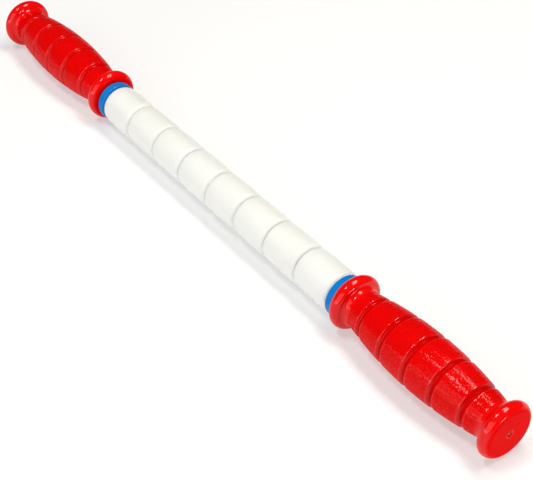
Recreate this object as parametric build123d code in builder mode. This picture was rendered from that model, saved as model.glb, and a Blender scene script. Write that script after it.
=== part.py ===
"""Hand-held massage roller stick: free-spinning barrel rollers on a flexible core rod, a grip at each end.

The rod's axis is X, with the origin at the middle of the rod, and Z is up. The stick lies on the flanges
of its grips. The rollers and washers hang on the rod by the slack in their bores.
"""

from build123d import *

import math
import os

# Driving dimensions, in millimetres
INCH = 25.4
ROD_DIAMETER = INCH / 2
ROD_CHAMFER = 1.0
SLACK = 1.4  # how far the rollers and washers hang below the rod's axis
BORE_GAP = 0.25  # what is left between the top of the rod and a loose bore
BORE_CHAMFER = 0.4
AXIAL_GAP = 0.3  # free play beside each roller and washer

ROLLER_COUNT = 8
ROLLER_LENGTH = INCH
ROLLER_DIAMETER = 23.2
ROLLER_CROWN = 0.45  # how much smaller the radius is at a roller's ends
ROLLER_EDGE = 2.2  # rounding of a roller's end edges

WASHER_THICKNESS = 5.2
WASHER_DIAMETER = 22.9
WASHER_EDGE = 1.2

GRIP_LENGTH = 108.8
END_WALL = 4.0  # thickness of a grip's closed end
FLANGE_DIAMETER = 29.6
FLANGE_FACE_ROUND = 3.8  # rounding from the end face up to the largest circle
FLANGE_BACK_ROUND = 3.4  # from the largest circle down the flange's back
FLANGE_FOOT_ROUND = 2.8  # hollow that leads from the back into the neck
NECK_DIAMETER = 20.4
BARREL_DIAMETER = 29.3
BARREL_START = 11.0  # from a grip's end to where the barrel begins to swell
GROOVE_COUNT = 5
GROOVE_PITCH = 17.4
GROOVE_RADIUS = 1.5
GROOVE_DEPTH = 1.4
GROOVE_SHOULDER = 0.7
SEAM_UP = 90  # degrees that put a groove circle's starting point outside the barrel
DIMPLE_DIAMETER = 3.6  # the moulding gate's mark in the middle of the end face
DIMPLE_DEPTH = 1.2
DIMPLE_RIM_ROUND = 0.5

SLEEVE_DIAMETER = 16.0
SLEEVE_STAND_BACK = 1.0  # from the grip's open end to the sleeve
AIR_SPACE = 1.5  # between the grip's end wall and the rod and sleeve
PIN_DIAMETER = 3.0
PIN_WALL = 0.7
PIN_SLIT = 0.6
PIN_INSET = 0.5  # how far the pin's ends lie under the sleeve's surface
PIN_FROM_SLEEVE_END = 16.0

# Derived places
rod_radius = ROD_DIAMETER / 2
loose_bore_radius = rod_radius + SLACK + BORE_GAP
roller_pitch = ROLLER_LENGTH + AXIAL_GAP
block_half = ROLLER_COUNT * roller_pitch / 2
washer_middle = block_half + AXIAL_GAP / 2 + WASHER_THICKNESS / 2
grip_start = washer_middle + WASHER_THICKNESS / 2 + AXIAL_GAP
grip_middle = grip_start + GRIP_LENGTH / 2
grip_end = grip_start + GRIP_LENGTH
pocket_length = GRIP_LENGTH - END_WALL
rod_half = grip_end - END_WALL - AIR_SPACE
sleeve_start = grip_start + SLEEVE_STAND_BACK
pin_x = sleeve_start + PIN_FROM_SLEEVE_END
loose_axis = Axis((0, 0, -SLACK), (1, 0, 0))
sides = {"left": -1, "right": 1}


def lengthwise_plane(x, z=0.0):
    """The upright plane through the rod's axis, with its own x along the rod and its origin at x, z."""
    return Plane(origin=(x, 0, z), x_dir=(1, 0, 0), z_dir=(0, -1, 0))


def cross_plane(x, direction=1, z=0.0):
    """The plane across the rod at x, which looks along the rod in the given direction."""
    return Plane(origin=(x, 0, z), x_dir=(0, 1, 0), z_dir=(direction, 0, 0))


def circles(edges, radius):
    """The circular edges of one radius."""
    return edges.filter_by(GeomType.CIRCLE).filter_by(lambda edge: abs(edge.radius - radius) < 0.01)


def write(part, name):
    """Labels a finished piece and writes it as parts/name.step."""
    part.label = name
    export_step(part, f"parts/{name}.step")


def make_core_rod():
    """The flexible plastic rod that runs through both grips, cross-drilled for the two pins."""
    with BuildPart() as rod:
        with BuildSketch(cross_plane(0)):
            Circle(rod_radius)
        extrude(amount=rod_half, both=True)
        chamfer(circles(rod.edges(), rod_radius), ROD_CHAMFER)
        with BuildSketch(Plane.XZ):
            with Locations((-pin_x, 0), (pin_x, 0)):
                Circle(PIN_DIAMETER / 2)
        extrude(amount=rod_radius, both=True, mode=Mode.SUBTRACT)
    write(rod.part, "core_rod")


def make_roller(number):
    """A barrel roller with a crowned outside and rounded ends, bored loosely over the rod."""
    centre = (number - (ROLLER_COUNT + 1) / 2) * roller_pitch
    half = ROLLER_LENGTH / 2
    radius = ROLLER_DIAMETER / 2
    end_radius = radius - ROLLER_CROWN
    with BuildPart() as roller:
        with BuildSketch(lengthwise_plane(centre, -SLACK)):
            with BuildLine():
                crown = ThreePointArc((-half, end_radius), (0, radius), (half, end_radius))
                Polyline(crown @ 1, (half, loose_bore_radius), (-half, loose_bore_radius), crown @ 0)
            make_face()
        revolve(axis=loose_axis)
        fillet(circles(roller.edges(), end_radius), ROLLER_EDGE)
        chamfer(circles(roller.edges(), loose_bore_radius), BORE_CHAMFER)
    write(roller.part, f"roller_{number}")


def make_washer(name, side):
    """A spacer washer between the last roller and a grip, loose on the rod."""
    with BuildPart() as washer:
        with BuildSketch(cross_plane(side * washer_middle, z=-SLACK)):
            Circle(WASHER_DIAMETER / 2)
            Circle(loose_bore_radius, mode=Mode.SUBTRACT)
        extrude(amount=WASHER_THICKNESS / 2, both=True)
        fillet(circles(washer.edges(), WASHER_DIAMETER / 2), WASHER_EDGE)
        chamfer(circles(washer.edges(), loose_bore_radius), BORE_CHAMFER)
    write(washer.part, f"spacer_washer_{name}")


def barrel_arc():
    """The radius of the large arc that the barrel's outline follows between the necks."""
    rise = (BARREL_DIAMETER - NECK_DIAMETER) / 2
    reach = GRIP_LENGTH / 2 - BARREL_START
    return (reach**2 + rise**2) / (2 * rise)


def barrel_radius(distance):
    """The barrel's outside radius at a distance from the grip's middle."""
    arc = barrel_arc()
    return BARREL_DIAMETER / 2 - arc + (arc**2 - distance**2) ** 0.5


def flange_turn():
    """Degrees that the flange's back arc turns before it meets the foot arc, which turns back as far."""
    fall = (FLANGE_DIAMETER - NECK_DIAMETER) / 2
    return math.degrees(math.acos(1 - fall / (FLANGE_BACK_ROUND + FLANGE_FOOT_ROUND)))


def grip_outline():
    """A grip's outline about its middle: one end's flange, neck and half barrel, and their mirror image."""
    half = GRIP_LENGTH / 2
    with BuildLine() as outline:
        face = Line((-half, 0), (-half, FLANGE_DIAMETER / 2 - FLANGE_FACE_ROUND))
        front = JernArc(face @ 1, face % 1, FLANGE_FACE_ROUND, -90)
        back = JernArc(front @ 1, front % 1, FLANGE_BACK_ROUND, -flange_turn())
        foot = JernArc(back @ 1, back % 1, FLANGE_FOOT_ROUND, flange_turn())
        straight = Line(foot @ 1, (BARREL_START - half, NECK_DIAMETER / 2))
        halfway = (BARREL_START - half) / 2
        ThreePointArc(straight @ 1, (halfway, barrel_radius(halfway)), (0, BARREL_DIAMETER / 2))
        mirror(about=Plane.YZ)
        Line((-half, 0), (half, 0))
    return outline.line


def dimple_radius():
    """The radius of the ball whose cap is the dimple."""
    mouth = DIMPLE_DIAMETER / 2
    return (mouth**2 + DIMPLE_DEPTH**2) / (2 * DIMPLE_DEPTH)


def grip_section(side):
    """A solid grip's section about its middle: ring grooves, and a dimple in the end on the given side."""
    outline = grip_outline()
    with BuildSketch() as section:
        add(outline)
        make_face()
        for index in range(GROOVE_COUNT):
            distance = (index - (GROOVE_COUNT - 1) / 2) * GROOVE_PITCH
            height = barrel_radius(distance) - GROOVE_DEPTH + GROOVE_RADIUS
            with Locations(Location((distance, height), SEAM_UP)):
                Circle(GROOVE_RADIUS, mode=Mode.SUBTRACT)
            fillet(section.vertices(Select.LAST), GROOVE_SHOULDER)
        with Locations((side * (GRIP_LENGTH / 2 + dimple_radius() - DIMPLE_DEPTH), 0)):
            Circle(dimple_radius(), mode=Mode.SUBTRACT)
        fillet(section.vertices(Select.LAST).sort_by(Axis.Y)[-1], DIMPLE_RIM_ROUND)
    return section.sketch


def make_grip(name, side):
    """A soft grip: a swelling barrel with ring grooves between two flanges, open towards the rollers."""
    section = grip_section(side)
    with BuildPart() as grip:
        with BuildSketch(lengthwise_plane(side * grip_middle)):
            add(section)
        revolve(axis=Axis.X)
        with BuildSketch(cross_plane(side * grip_start, side)):
            Circle(SLEEVE_DIAMETER / 2)
        extrude(amount=pocket_length, mode=Mode.SUBTRACT)
    write(grip.part, f"grip_{name}")


def make_sleeve(name, side):
    """The rigid tube that stiffens a grip, pinned to the rod inside it."""
    with BuildPart() as sleeve:
        with BuildSketch(cross_plane(side * sleeve_start, side)):
            Circle(SLEEVE_DIAMETER / 2)
            Circle(rod_radius, mode=Mode.SUBTRACT)
        extrude(amount=rod_half - sleeve_start)
        with BuildSketch(lengthwise_plane(side * pin_x)):
            Circle(PIN_DIAMETER / 2)
        extrude(amount=SLEEVE_DIAMETER / 2, both=True, mode=Mode.SUBTRACT)
    write(sleeve.part, f"handle_sleeve_{name}")


def make_pin(name, side):
    """The rolled spring pin through a sleeve and the rod, with its slit towards the grip's end."""
    with BuildPart() as pin:
        with BuildSketch(lengthwise_plane(side * pin_x)):
            Circle(PIN_DIAMETER / 2)
            Circle(PIN_DIAMETER / 2 - PIN_WALL, mode=Mode.SUBTRACT)
            with Locations((side * PIN_DIAMETER / 2, 0)):
                Rectangle(PIN_DIAMETER, PIN_SLIT, mode=Mode.SUBTRACT)
        extrude(amount=SLEEVE_DIAMETER / 2 - PIN_INSET, both=True)
    write(pin.part, f"cross_pin_{name}")


os.makedirs("parts", exist_ok=True)
make_core_rod()
for roller_number in range(1, ROLLER_COUNT + 1):
    make_roller(roller_number)
for side_name, side_sign in sides.items():
    make_washer(side_name, side_sign)
    make_grip(side_name, side_sign)
    make_sleeve(side_name, side_sign)
    make_pin(side_name, side_sign)
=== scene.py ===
"""Looks of a hand-held massage roller stick: two vinyl grips, loose barrel rollers and washers on a rod.

The stick's axis is X. Shapes are worked out in millimetres and written to the meshes in metres.
"""

import math

import bpy
import numpy as np
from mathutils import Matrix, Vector


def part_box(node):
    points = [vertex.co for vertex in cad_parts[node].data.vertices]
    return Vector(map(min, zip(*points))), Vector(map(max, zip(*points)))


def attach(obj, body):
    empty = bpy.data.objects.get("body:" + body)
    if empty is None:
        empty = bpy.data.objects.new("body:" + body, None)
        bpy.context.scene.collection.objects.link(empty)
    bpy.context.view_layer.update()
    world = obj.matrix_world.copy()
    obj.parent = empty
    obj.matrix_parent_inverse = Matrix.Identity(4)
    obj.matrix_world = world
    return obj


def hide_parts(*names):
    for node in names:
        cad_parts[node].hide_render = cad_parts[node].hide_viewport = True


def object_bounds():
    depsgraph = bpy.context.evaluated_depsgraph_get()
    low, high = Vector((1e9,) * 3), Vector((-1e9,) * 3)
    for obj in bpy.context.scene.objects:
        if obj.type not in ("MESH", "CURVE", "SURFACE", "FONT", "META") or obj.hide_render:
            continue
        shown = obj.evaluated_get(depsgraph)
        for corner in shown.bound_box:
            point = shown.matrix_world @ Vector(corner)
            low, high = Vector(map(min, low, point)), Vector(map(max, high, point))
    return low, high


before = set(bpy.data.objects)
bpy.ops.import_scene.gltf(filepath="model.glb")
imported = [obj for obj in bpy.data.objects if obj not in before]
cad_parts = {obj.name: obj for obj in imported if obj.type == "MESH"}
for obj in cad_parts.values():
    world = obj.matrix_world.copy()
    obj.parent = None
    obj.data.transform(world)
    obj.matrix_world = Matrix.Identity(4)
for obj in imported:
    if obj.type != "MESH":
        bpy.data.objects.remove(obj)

cad_low, cad_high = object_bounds()

MM = 0.001

POINT_GAP = 0.01  # points of an outline nearer than this to the one before are left out

# The grip's moulding, in millimetres
FLANGE_FACE_ROUND = 3.8
FLANGE_BACK_ROUND = 3.4
FLANGE_FOOT_ROUND = 2.8
NECK_RADIUS = 10.2
BARREL_RADIUS = 14.65
BARREL_START = 11.0
POCKET_RADIUS = 8.0
POCKET_EDGE = 0.4
END_WALL = 4.0
DIMPLE_RADIUS = 1.8
DIMPLE_DEPTH = 1.2
DIMPLE_RIM_ROUND = 0.5
GROOVE_OFFSETS = (-34.8, -17.4, 0.0, 17.4, 34.8)
GROOVE_RADIUS = 1.5
GROOVE_DEPTH = 1.4
GROOVE_SHOULDER = 0.7
GRIP_TURNS = 250
BARREL_STEP = 0.42  # spacing of the outline's points on the barrel, on arcs and on the end face
ARC_STEP = 0.3
FACE_STEP = 0.4

# The small moulding mark that stands up from a grip's end face
NUB_PLACE = (4.8, 3.5)
NUB_HEIGHT = 0.3
NUB_RADIUS = 0.55

# The leather-like grain on the barrel
PEBBLE = 1.3
PEBBLE_HEIGHT = 0.12
PEBBLE_ROWS = 128
CREASE_WIDTH = 0.45  # of a pebble's size, from the middle of a crease to the top of a dome
GRAIN_FADE = 3.0  # half the length over which the grain comes up beside BARREL_START
GRAIN_GROOVE = (1.3, 2.3)  # distances from a groove's middle where the grain begins and is full

# Polished bands and bands of painted shade. Each pair is where a soft change begins and where it is full.
SHOULDER_INNER = (0.6, 1.1)  # from a groove's middle
SHOULDER_OUTER = (2.6, 1.8)  # from a groove's middle
SHOULDER_POLISH = 0.85  # of the flanges' polish
FLANGE_POLISH = (0.2, 1.5)  # from a grip's end
NECK_POLISH_FADE = 2.0  # half the length over which it fades beside BARREL_START
DIMPLE_FADE = 0.6  # outwards from the dimple's circle
GROOVE_PAINTED_SHADE = (1.7, 0.7)  # from a groove's middle
DIMPLE_PAINTED_SHADE = (0.1, 0.6)  # under the end face

# Rollers and washers
LOOSE_BORE = 8.0
BORE_EDGE = 0.4
ROLLER_CROWN = 0.45
ROLLER_EDGE = 2.2
WASHER_EDGE = 1.2
LOOSE_TURNS = 144

# Camera
CAMERA_AZIMUTH = math.radians(53.61)
CAMERA_ELEVATION = math.radians(39.52)
CAMERA_PLACE = (0.4639, -0.31167, 0.42461)
CAMERA_LENS = 89.06

# Studio
FLOOR_HALF = 3.0
FLOOR_GLOW = 0.40


# Outlines: arrays of (x, r) points in millimetres


def rounded(corners):
    """An open run through corners, each rounded by an arc of its own radius.

    A corner is (x, r, radius, step): step is the spacing of the points on the straight run after it.
    At a corner of turn t the arc starts radius * tan(t / 2) before the corner. Its points are
    centre - radius * (middle cos a - side sin a) for a from t / 2 to -t / 2, where middle points from the
    corner to the centre and side stands across it, towards the run before.
    """
    points = []
    for index, (x, r, radius, step) in enumerate(corners):
        here = np.array((x, r), float)
        if radius:
            before = np.array(corners[index - 1][:2], float) - here
            after = np.array(corners[index + 1][:2], float) - here
            before /= np.linalg.norm(before)
            after /= np.linalg.norm(after)
            half_turn = (math.pi - math.acos(float(before @ after))) / 2
            middle = (before + after) / np.linalg.norm(before + after)
            centre = here + middle * radius / math.cos(half_turn)
            count = max(4, math.ceil(2 * half_turn * radius / ARC_STEP))
            side = before - middle * (before @ middle)
            side /= np.linalg.norm(side)
            angles = np.linspace(half_turn, -half_turn, count + 1)[:, None]
            points.append(centre - radius * (np.cos(angles) * middle - np.sin(angles) * side))
        else:
            points.append(here[None])
        if index + 1 < len(corners) and step:
            start = points[-1][-1]
            nx, nr, next_radius, _ = corners[index + 1]
            end = np.array((nx, nr), float)
            way = end - start
            length = np.linalg.norm(way)
            if next_radius:
                following = np.array(corners[index + 2][:2], float) - end
                following /= np.linalg.norm(following)
                turn = math.acos(np.clip(float(way @ following) / length, -1, 1))
                length -= next_radius * math.tan(turn / 2)
            count = max(1, round(length / step))
            along = np.linspace(0, length, count + 1)[1:-1, None]
            points.append(start + way / np.linalg.norm(way) * along)
    return np.concatenate(points)


def without_repeats(outline, closed):
    """The outline without repeated points. A closed one's first point also counts as after its last."""
    gaps = np.linalg.norm(outline - np.roll(outline, 1, axis=0), axis=1)
    kept = gaps > POINT_GAP
    kept[0] |= not closed
    return outline[kept]


def barrel_rise(offset, reach):
    """Height of the barrel over the neck at an offset from the grip's middle, on one large arc.

    rise - arc + sqrt(arc^2 - offset^2), with arc chosen to meet the neck at reach; zero beyond it.
    """
    rise = BARREL_RADIUS - NECK_RADIUS
    arc = (reach**2 + rise**2) / (2 * rise)
    inside = np.minimum(np.abs(offset), reach)
    return rise - arc + np.sqrt(arc**2 - inside**2)


def tangent_arcs(ball, rim, depth):
    """A round hollow's outline from its bottom to the flat beside it, as (offset, height) points.

    The rim's circle stands reach from the middle, where it touches both the ball and the flat:
    reach^2 = (ball + rim)^2 - (ball - depth + rim)^2. The two arcs meet at the angle lean.
    """
    lift = ball - depth
    reach = math.sqrt((ball + rim) ** 2 - (lift + rim) ** 2)
    lean = math.atan2(reach, lift + rim)
    floor = np.linspace(0, lean, 7)
    edge = np.linspace(lean, 0, 5)[1:]
    hollow = np.stack([ball * np.sin(floor), lift - ball * np.cos(floor)], 1)
    shoulder = np.stack([reach - rim * np.sin(edge), rim * np.cos(edge) - rim], 1)
    return np.concatenate([hollow, shoulder])


def barrel_points(length):
    """The run over the barrel as (x, r) points, with the last millimetre of each neck, far end first."""
    middle = length / 2
    reach = middle - BARREL_START
    half_groove = tangent_arcs(GROOVE_RADIUS, GROOVE_SHOULDER, GROOVE_DEPTH)
    groove = np.concatenate([half_groove[:0:-1] * (-1, 1), half_groove])
    edge = groove[-1, 0] + BARREL_STEP
    stops = [-reach - 1, *sum(((g - edge, g + edge) for g in GROOVE_OFFSETS), ()), reach + 1]
    runs = []
    for start, end in zip(stops[::2], stops[1::2]):
        offsets = np.linspace(start, end, max(2, round((end - start) / BARREL_STEP)))
        runs.append(np.stack([offsets, np.zeros_like(offsets)], 1))
    parts = [runs[0]]
    for offset, run in zip(GROOVE_OFFSETS, runs[1:]):
        parts += [groove + (offset, 0), run]
    line = np.concatenate(parts)[::-1]
    radius = NECK_RADIUS + line[:, 1] + barrel_rise(line[:, 0], reach)
    return np.stack([line[:, 0] + middle, radius], 1)


def flange_points(flange):
    """A flange's outline from its flat face's rim to the neck, as (distance from the end, r) points.

    Three tangent arcs: a quarter turn over the front, then down the back and out along the foot, both
    through the same turn, where (back + foot) * (1 - cos turn) is the fall from the flange to the neck.
    """
    front, back, foot = FLANGE_FACE_ROUND, FLANGE_BACK_ROUND, FLANGE_FOOT_ROUND
    turn = math.acos(1 - (flange - NECK_RADIUS) / (back + foot))
    over = np.linspace(0, math.pi / 2, 13)
    down = np.linspace(0, turn, 11)[1:]
    out = np.linspace(turn, 0, 9)[1:]
    neck = front + (back + foot) * math.sin(turn)
    return np.concatenate([
        np.stack([front - front * np.cos(over), flange - front + front * np.sin(over)], 1),
        np.stack([front + back * np.sin(down), flange - back + back * np.cos(down)], 1),
        np.stack([neck - foot * np.sin(out), NECK_RADIUS + foot - foot * np.cos(out)], 1),
    ])


def grip_outline(length, flange):
    """A grip's outline as an open run from the dimple's bottom, round the outside, to the pocket's bottom.

    x is 0 at the open end. Both ends of the run lie on the axis.
    """
    ball = (DIMPLE_RADIUS**2 + DIMPLE_DEPTH**2) / (2 * DIMPLE_DEPTH)
    dimple = tangent_arcs(ball, DIMPLE_RIM_ROUND, DIMPLE_DEPTH)[:, ::-1] + (length, 0)
    flat = flange - FLANGE_FACE_ROUND
    rim = dimple[-1, 1]
    across = np.linspace(rim, flat, round((flat - rim) / FACE_STEP))[1:-1]
    face = np.stack([np.full_like(across, length), across], 1)
    over = flange_points(flange)
    pocket = length - END_WALL
    inside = rounded([
        (0, flat, 0, 1.2),
        (0, POCKET_RADIUS, POCKET_EDGE, 12.0),
        (pocket, POCKET_RADIUS, POCKET_EDGE, 2.4),
        (pocket, 0, 0, 0),
    ])
    far = over * (-1, 1) + (length, 0)
    return np.concatenate([dimple, face, far, barrel_points(length), over[::-1], inside[1:]])


def loose_outline(half, radius, edge, crown):
    """A roller's or washer's closed outline about x = 0.

    Its crown lowers each point by crown * (x / half)^2 times the point's share of the way from the bore
    to the outside.
    """
    line = rounded([
        (0, LOOSE_BORE, 0, 4.0),
        (-half, LOOSE_BORE, BORE_EDGE, 1.0),
        (-half, radius, edge, 0.8),
        (half, radius, edge, 1.0),
        (half, LOOSE_BORE, BORE_EDGE, 4.0),
        (POINT_GAP, LOOSE_BORE, 0, 0),
    ])
    share = (line[:, 1] - LOOSE_BORE) / (radius - LOOSE_BORE)
    line[:, 1] -= crown * share * (line[:, 0] / half) ** 2
    return line


# Surfaces


def lathe(name, rings, angles, height=0.0, marks=None):
    """A closed surface of rings about a line along X at a height, all in millimetres.

    rings is an array (rows, turns, 2) of (x, r). Point (i, j) is (x, r cos a_j, height + r sin a_j).
    Where the first and last rings have no radius they are single points, the surface's poles, and the
    quads beside them are triangles. Otherwise the last row joins the first and there are no poles.
    marks holds named arrays (rows, turns), kept as one number per point for the material.
    """
    rows, turns = rings.shape[:2]
    x, r = rings[..., 0], rings[..., 1]
    co = np.stack([x, r * np.cos(angles), height + r * np.sin(angles)], -1).reshape(-1, 3) * MM
    index = np.arange(rows * turns)
    used = slice(0, rows * turns)
    poles = not r[0].any()
    if poles:
        index = np.clip(index - turns + 1, 0, (rows - 2) * turns + 1)
        used = slice(turns - 1, (rows - 1) * turns + 1)
    index = index.reshape(rows, turns)
    below = index[1:] if poles else np.roll(index, -1, 0)
    above = index[: len(below)]
    corners = np.stack([above, np.roll(above, -1, 1), np.roll(below, -1, 1), below], -1).reshape(-1, 4)
    line = rings.mean(1)
    ahead = np.roll(line, -1, 0)
    if np.sum(line[:, 0] * ahead[:, 1] - ahead[:, 0] * line[:, 1]) > 0:
        corners = corners[:, ::-1]
    different = corners != np.roll(corners, -1, 1)
    ends = np.cumsum(different.sum(1))
    mesh = bpy.data.meshes.new(name)
    mesh.vertices.add(len(co[used]))
    mesh.vertices.foreach_set("co", co[used].astype(np.float32).ravel())
    mesh.loops.add(int(ends[-1]))
    mesh.loops.foreach_set("vertex_index", corners[different].astype(np.int32))
    mesh.polygons.add(len(corners))
    mesh.polygons.foreach_set("loop_start", np.concatenate([[0], ends[:-1]]).astype(np.int32))
    mesh.update(calc_edges=True)
    for label, values in (marks or {}).items():
        attribute = mesh.attributes.new(label, "FLOAT", "POINT")
        attribute.data.foreach_set("value", values.ravel()[used].astype(np.float32))
    mesh.validate()
    mesh.shade_smooth()
    piece = bpy.data.objects.new(name, mesh)
    bpy.context.scene.collection.objects.link(piece)
    return piece


def turn_angles(turns):
    """The angles of evenly spaced points round a full turn."""
    return np.arange(turns) * 2 * math.pi / turns


def smooth_step(low, high, value):
    """0 below low, 1 above high and 3 t^2 - 2 t^3 between."""
    t = np.clip((value - low) / (high - low), 0, 1)
    return t * t * (3 - 2 * t)


def pebbles(along, around, girth, seed):
    """Leather-like pebble height, 0 in the creases and at most 1 on the domes, periodic around the girth.

    Each cell of a square lattice holds one jittered point; the height is a smooth step of the second
    nearest point's distance less the nearest's, times the nearest point's own height.
    """
    columns = round(girth / PEBBLE)
    random = np.random.default_rng(seed)
    jitter = random.uniform(0.1, 0.9, (PEBBLE_ROWS, columns, 2))
    tall = random.uniform(0.6, 1.0, (PEBBLE_ROWS, columns))
    u, v = along / PEBBLE + PEBBLE_ROWS / 2, around / girth * columns
    cell_u, cell_v = np.floor(u).astype(int), np.floor(v).astype(int)
    nearest = np.full(u.shape, 9.0)
    second = np.full(u.shape, 9.0)
    crown = np.zeros(u.shape)
    for step_u in (-1, 0, 1):
        for step_v in (-1, 0, 1):
            row = np.clip(cell_u + step_u, 0, PEBBLE_ROWS - 1)
            column = (cell_v + step_v) % columns
            offset = jitter[row, column]
            distance = np.hypot(cell_u + step_u + offset[..., 0] - u, cell_v + step_v + offset[..., 1] - v)
            closer = distance < nearest
            second = np.where(closer, nearest, np.minimum(second, distance))
            crown = np.where(closer, tall[row, column], crown)
            nearest = np.where(closer, distance, nearest)
    return smooth_step(0.0, CREASE_WIDTH, second - nearest) * crown


# Shader expressions


class Wire:
    """A socket in one material's node tree. Arithmetic on it adds Math nodes."""

    def __init__(self, tree, socket=None):
        self.tree = tree
        self.socket = socket

    def node(self, kind, settings=None, inputs=None, output=0):
        """Adds a node: settings first, then its sockets' values or links."""
        made = self.tree.nodes.new(kind)
        for name, value in (settings or {}).items():
            setattr(made, name, value)
        for name, value in (inputs or {}).items():
            if isinstance(value, Wire):
                self.tree.links.new(value.socket, made.inputs[name])
            else:
                made.inputs[name].default_value = value
        return Wire(self.tree, made.outputs[output] if len(made.outputs) else None)

    def math(self, operation, *values, clamp=False):
        """A Math node that takes this and then the other values."""
        inputs = dict(enumerate((self, *values)))
        return self.node("ShaderNodeMath", {"operation": operation, "use_clamp": clamp}, inputs)

    def __add__(self, other):
        return self.math("ADD", other)

    __radd__ = __add__

    def __sub__(self, other):
        return self.math("SUBTRACT", other)

    def __rsub__(self, other):
        return (self * -1) + other

    def __mul__(self, other):
        return self.math("MULTIPLY", other)

    __rmul__ = __mul__

    def clamped(self):
        """This, kept between 0 and 1."""
        return self.math("ADD", 0.0, clamp=True)

    def band(self, low, high):
        """0 below low and 1 above high, with a soft change between."""
        settings = {"interpolation_type": "SMOOTHSTEP"}
        return self.node("ShaderNodeMapRange", settings, {"Value": self, "From Min": low, "From Max": high})

    def blend(self, low, high):
        """The colour low where this is 0 and high where it is 1."""
        inputs = {0: self, 6: (*low, 1), 7: (*high, 1)}
        return self.node("ShaderNodeMix", {"data_type": "RGBA"}, inputs, output=2)

    def scaled(self, scale):
        """This vector with each part multiplied."""
        settings = {"operation": "MULTIPLY"}
        return self.node("ShaderNodeVectorMath", settings, {0: self, 1: scale})

    def noise(self, scale, detail):
        """Even cloudy noise between 0 and 1 at this place."""
        inputs = {"Vector": self, "Scale": scale, "Detail": detail, "Roughness": 0.5}
        return self.node("ShaderNodeTexNoise", {"normalize": True}, inputs)

    def mark(self, name):
        """One of the numbers that lathe keeps for each point."""
        return self.node("ShaderNodeAttribute", {"attribute_name": name}, output="Fac")


def material(name, build):
    """A material whose build function gives the shader's sockets from the tree's place on the object."""
    made = bpy.data.materials.new(name)
    made.use_nodes = True
    tree = made.node_tree
    tree.nodes.clear()
    start = Wire(tree)
    place = start.node("ShaderNodeTexCoord", output="Object")
    shader = start.node("ShaderNodeBsdfPrincipled", inputs=build(place))
    start.node("ShaderNodeOutputMaterial", inputs={"Surface": shader})
    return made


def bump(height, strength, distance):
    """A normal tilted by a height field, distance being the real depth of a height of 1 in metres."""
    inputs = {"Strength": strength, "Distance": distance, "Height": height}
    return height.node("ShaderNodeBump", inputs=inputs)


def red_vinyl(place):
    """Red vinyl: leather-like grain on the barrel, polish on the flanges' rounds and grooves' shoulders, and
    painted shade darkening the grain's creases, the grooves' bottoms and the dimple.
    """
    pebble, grained = place.mark("pebble"), place.mark("grained")
    polished, hollow = place.mark("polished"), place.mark("hollow")
    cloud = place.noise(60.0, 3.0)
    cells = place.node("ShaderNodeTexVoronoi", {"feature": "SMOOTH_F1"}, {"Vector": place, "Scale": 950.0})
    fine = place.noise(2600.0, 2.0)
    # Painted shade: the colour darkens in the grain's creases and, more, in the hollows of the grooves,
    # dimple and pocket; cloud is the vinyl's own random tone.
    crease = (1 - pebble) * grained
    tone_and_shade = (cloud * 0.3 + crease * 0.35 + hollow * 0.65).clamped()
    return {
        "Base Color": tone_and_shade.blend((0.70, 0.0006, 0.0006), (0.42, 0.0, 0.0)),
        "Roughness": (0.3 + grained * 0.06 + cloud * 0.06 + crease * 0.1).clamped(),
        "Normal": bump((fine * 0.25 - cells) * grained, 0.8, 0.00035),
        "Specular IOR Level": 0.01,
        "Coat Weight": (0.01 + polished * 0.6 + grained * (0.05 + pebble * 0.24)).clamped(),
        "Coat Roughness": 0.08,
    }


def roller_plastic(place):
    """Off-white moulded plastic, faintly translucent, with fine rings of wear round it."""
    rings = place.scaled((3000.0, 60.0, 60.0)).noise(1.0, 2.0)
    cloud = place.noise(45.0, 2.0)
    wear = rings.band(0.5, 0.75)
    return {
        "Base Color": cloud.blend((0.79, 0.79, 0.75), (0.76, 0.75, 0.69)),
        "Roughness": (0.34 + wear * 0.14 + cloud * 0.06).clamped(),
        "Normal": bump(rings, 0.15, 0.00002),
        "Subsurface Weight": 0.75,
        "Subsurface Radius": (1.0, 0.95, 0.85),
        "Subsurface Scale": 0.012,
    }


def blue_plastic(place):
    """Semi-gloss blue moulded plastic with a faint orange-peel skin."""
    skin = place.noise(900.0, 2.0)
    cloud = place.noise(80.0, 2.0)
    return {
        "Base Color": cloud.blend((0.002, 0.175, 0.52), (0.001, 0.14, 0.44)),
        "Roughness": (0.22 + cloud * 0.12).clamped(),
        "Normal": bump(skin, 0.25, 0.00003),
        "Specular IOR Level": 0.08,
        "Coat Weight": 0.06,
        "Coat Roughness": 0.12,
    }


def rod_plastic(place):
    """Natural extruded nylon with faint draw lines along the rod."""
    lines = place.scaled((20.0, 1800.0, 1800.0)).noise(1.0, 2.0)
    cloud = place.noise(30.0, 2.0)
    return {
        "Base Color": cloud.blend((0.78, 0.76, 0.68), (0.70, 0.67, 0.58)),
        "Roughness": (0.38 + lines * 0.15).clamped(),
        "Normal": bump(lines, 0.2, 0.00002),
        "Subsurface Weight": 0.2,
        "Subsurface Scale": 0.003,
    }


def sleeve_plastic(place):
    """Dark rigid tube with a matt extruded skin."""
    lines = place.scaled((40.0, 1500.0, 1500.0)).noise(1.0, 2.0)
    return {
        "Base Color": lines.blend((0.016, 0.016, 0.018), (0.03, 0.03, 0.033)),
        "Roughness": (0.45 + lines * 0.15).clamped(),
        "Normal": bump(lines, 0.2, 0.00002),
    }


def pin_steel(place):
    """Rolled spring steel, drawn along the pin's length."""
    lines = place.scaled((5000.0, 120.0, 5000.0)).noise(1.0, 2.0)
    return {
        "Base Color": lines.blend((0.42, 0.42, 0.43), (0.56, 0.56, 0.57)),
        "Metallic": 1.0,
        "Roughness": (0.25 + lines * 0.2).clamped(),
        "Normal": bump(lines, 0.2, 0.00001),
    }


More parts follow.
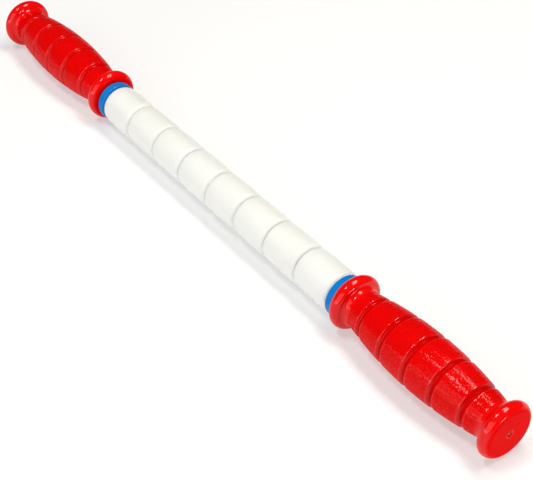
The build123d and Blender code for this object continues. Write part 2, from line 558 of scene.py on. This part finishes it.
def floor_paper(place):
    """Plain white paper lit from behind, so that the shadow on it stays light and even."""
    tooth = place.noise(500.0, 2.0)
    return {
        "Base Color": tooth.blend((0.50, 0.50, 0.50), (0.48, 0.48, 0.48)),
        "Roughness": 0.9,
        "Specular IOR Level": 0.05,
        "Emission Color": (1, 1, 1, 1),
        "Emission Strength": FLOOR_GLOW,
    }


# Pieces


def put_on(piece, finish):
    """Gives a piece its one material."""
    piece.data.materials.clear()
    piece.data.materials.append(finish)


def span(node):
    """A node's lowest and highest x, and its radius, in millimetres."""
    low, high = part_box(node)
    return low.x / MM, high.x / MM, (high.y - low.y) / 2 / MM


def from_nearest(outline, length):
    """Each point's distances along the axis from the nearest groove's middle and from the nearer end."""
    offsets = outline[:, 0, None] - length / 2 - np.array(GROOVE_OFFSETS)
    return np.abs(offsets).min(1), np.minimum(outline[:, 0], length - outline[:, 0])


def grain_share(outline, length):
    """How strongly each point of the outline is grained: 1 on the barrel, 0 on flanges and in grooves."""
    from_groove, from_end = from_nearest(outline, length)
    outside = outline[:, 1] > (POCKET_RADIUS + NECK_RADIUS) / 2
    barrel = smooth_step(BARREL_START - GRAIN_FADE, BARREL_START + GRAIN_FADE, from_end)
    return barrel * outside * smooth_step(*GRAIN_GROOVE, from_groove)


def polish_share(outline, length):
    """How polished each point is: 1 on flanges' rounds, necks and dimple, less on grooves' shoulders."""
    from_groove, from_end = from_nearest(outline, length)
    shoulder = smooth_step(*SHOULDER_INNER, from_groove) * smooth_step(*SHOULDER_OUTER, from_groove)
    neck = smooth_step(BARREL_START + NECK_POLISH_FADE, BARREL_START - NECK_POLISH_FADE, from_end)
    flange = smooth_step(*FLANGE_POLISH, from_end) * neck
    on_end = outline[:, 0] > length - END_WALL / 2
    dimple = smooth_step(DIMPLE_RADIUS + DIMPLE_FADE, DIMPLE_RADIUS, outline[:, 1]) * on_end
    return np.clip(SHOULDER_POLISH * shoulder + flange + dimple, 0, 1)


def painted_shade_share(outline, length):
    """Painted shade: how much darker each point's colour is, 1 at the bottoms of the grooves, the dimple
    and, unseen, the pocket.
    """
    from_groove, _ = from_nearest(outline, length)
    groove = smooth_step(*GROOVE_PAINTED_SHADE, from_groove) * (outline[:, 1] > NECK_RADIUS)
    return groove + smooth_step(*DIMPLE_PAINTED_SHADE, length - outline[:, 0]) * (outline[:, 1] < DIMPLE_RADIUS)


def nub_rise(outline, angles, length):
    """The height of the end face's small nub, a bell-shaped bump exp(-(distance / radius)^2)."""
    y = outline[:, 1, None] * np.cos(angles)
    z = outline[:, 1, None] * np.sin(angles)
    distance = np.hypot(y - NUB_PLACE[0], z - NUB_PLACE[1])
    on_face = outline[:, 0, None] > length - POINT_GAP
    return NUB_HEIGHT * np.exp(-((distance / NUB_RADIUS) ** 2)) * on_face


def make_grip(side, finish):
    """A soft grip turned from its outline, with the pebble grain raised along the outline's normals."""
    node = f"grip_{side}"
    low, high, flange = span(node)
    length = high - low
    outline = without_repeats(grip_outline(length, flange), closed=False)
    normal = np.gradient(outline, axis=0)[:, ::-1] * (1, -1)
    normal /= np.linalg.norm(normal, axis=1)[:, None]
    angles = turn_angles(GRIP_TURNS)
    girth = math.pi * (BARREL_RADIUS + NECK_RADIUS)
    along, around = np.meshgrid(outline[:, 0] - length / 2, angles / (2 * math.pi) * girth, indexing="ij")
    marks = {"pebble": pebbles(along, around, girth, seed=len(side))}
    # The hollow mark is painted shade: darker colour in the grooves' bottoms, the dimple and the pocket.
    for label, share in (("grained", grain_share), ("polished", polish_share), ("hollow", painted_shade_share)):
        marks[label] = np.broadcast_to(share(outline, length)[:, None], along.shape)
    lift = (marks["pebble"] - 0.5) * PEBBLE_HEIGHT * marks["grained"]
    rings = outline[:, None, :] - normal[:, None, :] * lift[..., None]
    rings[..., 0] += nub_rise(outline, angles, length)
    rings[..., 0] = low + rings[..., 0] if side == "right" else high - rings[..., 0]
    piece = lathe(f"{node}_vinyl", rings, angles, marks=marks)
    put_on(piece, finish)
    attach(piece, "handle_and_rod")
    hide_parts(node)
    return piece


def make_loose(node, edge, crown, finish):
    """A roller or washer turned from its outline about its own axis, which hangs below the rod's."""
    low, high, radius = span(node)
    bottom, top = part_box(node)
    height = (bottom.z + top.z) / 2 / MM
    outline = loose_outline((high - low) / 2, radius, edge, crown) + ((low + high) / 2, 0)
    outline = without_repeats(outline, closed=True)
    rings = np.repeat(outline[:, None, :], LOOSE_TURNS, 1)
    piece = lathe(f"{node}_shell", rings, turn_angles(LOOSE_TURNS), height)
    put_on(piece, finish)
    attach(piece, node)
    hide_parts(node)
    return piece


vinyl = material("red_vinyl", red_vinyl)
for side in ("left", "right"):
    make_grip(side, vinyl)

white = material("roller_plastic", roller_plastic)
blue = material("blue_plastic", blue_plastic)
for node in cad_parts:
    if node.startswith("roller_"):
        make_loose(node, ROLLER_EDGE, ROLLER_CROWN, white)
    elif node.startswith("spacer_washer_"):
        make_loose(node, WASHER_EDGE, 0.0, blue)

put_on(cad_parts["core_rod"], material("rod_plastic", rod_plastic))
sleeve_finish = material("sleeve_plastic", sleeve_plastic)
pin_finish = material("pin_steel", pin_steel)
for side in ("left", "right"):
    put_on(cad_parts[f"handle_sleeve_{side}"], sleeve_finish)
    put_on(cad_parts[f"cross_pin_{side}"], pin_finish)


# Studio


def make_floor():
    """A wide flat sheet under the flanges."""
    signs = ((-1, -1), (1, -1), (1, 1), (-1, 1))
    corners = [(x * FLOOR_HALF, y * FLOOR_HALF, cad_low.z) for x, y in signs]
    mesh = bpy.data.meshes.new("floor")
    mesh.from_pydata(corners, [], [(0, 1, 2, 3)])
    floor = bpy.data.objects.new("floor", mesh)
    bpy.context.scene.collection.objects.link(floor)
    put_on(floor, material("floor_paper", floor_paper))


def area_light(name, place, size, power, aim=(0, 0, 0), colour=(1, 1, 1)):
    """A rectangular softbox at a place, facing aim."""
    data = bpy.data.lights.new(name, "AREA")
    data.shape = "RECTANGLE"
    data.size, data.size_y = size
    data.energy = power
    data.color = colour
    lamp = bpy.data.objects.new(name, data)
    lamp.location = place
    lamp.rotation_mode = "QUATERNION"
    lamp.rotation_quaternion = (Vector(aim) - Vector(place)).to_track_quat("-Z", "Y")
    bpy.context.scene.collection.objects.link(lamp)


def make_world(strength):
    """An even white surround."""
    world = bpy.data.worlds.new("studio")
    world.use_nodes = True
    world.node_tree.nodes["Background"].inputs["Color"].default_value = (1, 1, 1, 1)
    world.node_tree.nodes["Background"].inputs["Strength"].default_value = strength
    bpy.context.scene.world = world


def make_camera():
    """The camera, held upright, looking down along its azimuth and elevation."""
    level = math.cos(CAMERA_ELEVATION)
    forward = Vector((
        -math.sin(CAMERA_AZIMUTH) * level,
        math.cos(CAMERA_AZIMUTH) * level,
        -math.sin(CAMERA_ELEVATION),
    ))
    data = bpy.data.cameras.new("camera")
    data.lens = CAMERA_LENS
    data.sensor_width = 36.0
    camera = bpy.data.objects.new("camera", data)
    camera.location = CAMERA_PLACE
    camera.rotation_mode = "QUATERNION"
    camera.rotation_quaternion = forward.to_track_quat("-Z", "Y")
    bpy.context.scene.collection.objects.link(camera)
    bpy.context.scene.camera = camera


make_floor()
make_world(strength=0.1)
area_light(
    "overhead_softbox", (0.2, 0.30, 0.96), (0.8, 0.30), power=9.2, aim=(0.2, 0, 0), colour=(1.0, 0.97, 0.88)
)
area_light("high_softbox", (-0.12, -0.36, 1.05), (0.3, 0.22), power=4.3)
area_light("front_wall", (0.5, -1.4, 0.75), (2.2, 1.2), power=13.5, aim=(0.2, 0, 0))
area_light("low_fill", (0.0, -1.2, 0.16), (1.6, 0.25), power=3.2)
area_light("edge_panel", (1.28, 0.18, 0.09), (0.32, 0.26), power=6.0)
make_camera()
bpy.context.scene.view_settings.view_transform = "Standard"
